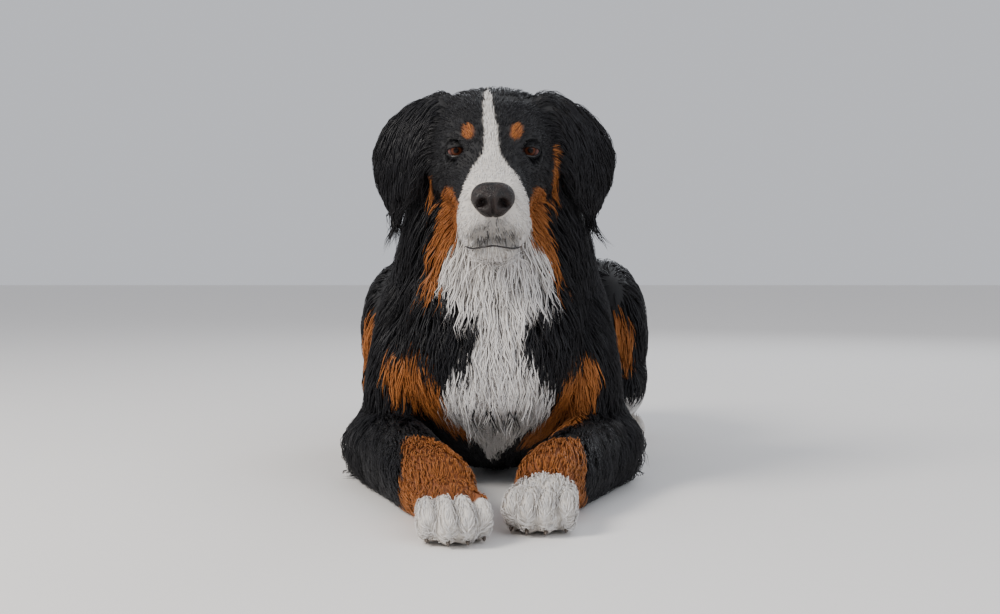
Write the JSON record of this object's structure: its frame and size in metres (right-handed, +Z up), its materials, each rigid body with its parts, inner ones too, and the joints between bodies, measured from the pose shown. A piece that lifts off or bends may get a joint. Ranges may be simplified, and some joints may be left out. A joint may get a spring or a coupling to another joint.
{
  "type": "bernese mountain dog",
  "caption": "Life-size tricolour long-coated mountain dog, a still model lying on its chest with head raised and forelegs stretched forward.",
  "frame": {"origin": "middle of the footprint's bounding box, on the floor the dog lies on", "axes": "+Z up, the dog looks along -Y, its left side is at +X"},
  "size_m": [0.4504, 1.3476, 0.5053],
  "materials": {
    "black_coat": "long soft black coat with a faint sheen",
    "rust_coat": "medium rust coat",
    "white_coat": "short white coat",
    "nose_leather": "moist pebbled nose leather",
    "eye": "wet, glossy dark brown"
  },
  "bodies": {
    "root": {"head": "black_coat", "left_ear": "black_coat", "left_eye": "eye", "left_forearm": "rust_coat", "left_front_paw": "white_coat", "left_hind_foot": "white_coat", "left_shank": "black_coat", "left_thigh": "black_coat", "left_upper_arm": "black_coat", "neck": "black_coat", "nose": "nose_leather", "right_ear": "black_coat", "right_eye": "eye", "right_forearm": "rust_coat", "right_front_paw": "white_coat", "right_hind_foot": "white_coat", "right_shank": "black_coat", "right_thigh": "black_coat", "right_upper_arm": "black_coat", "tail_root": "black_coat", "tail_tip": "black_coat", "torso": "black_coat"}
  },
  "joints": []
}
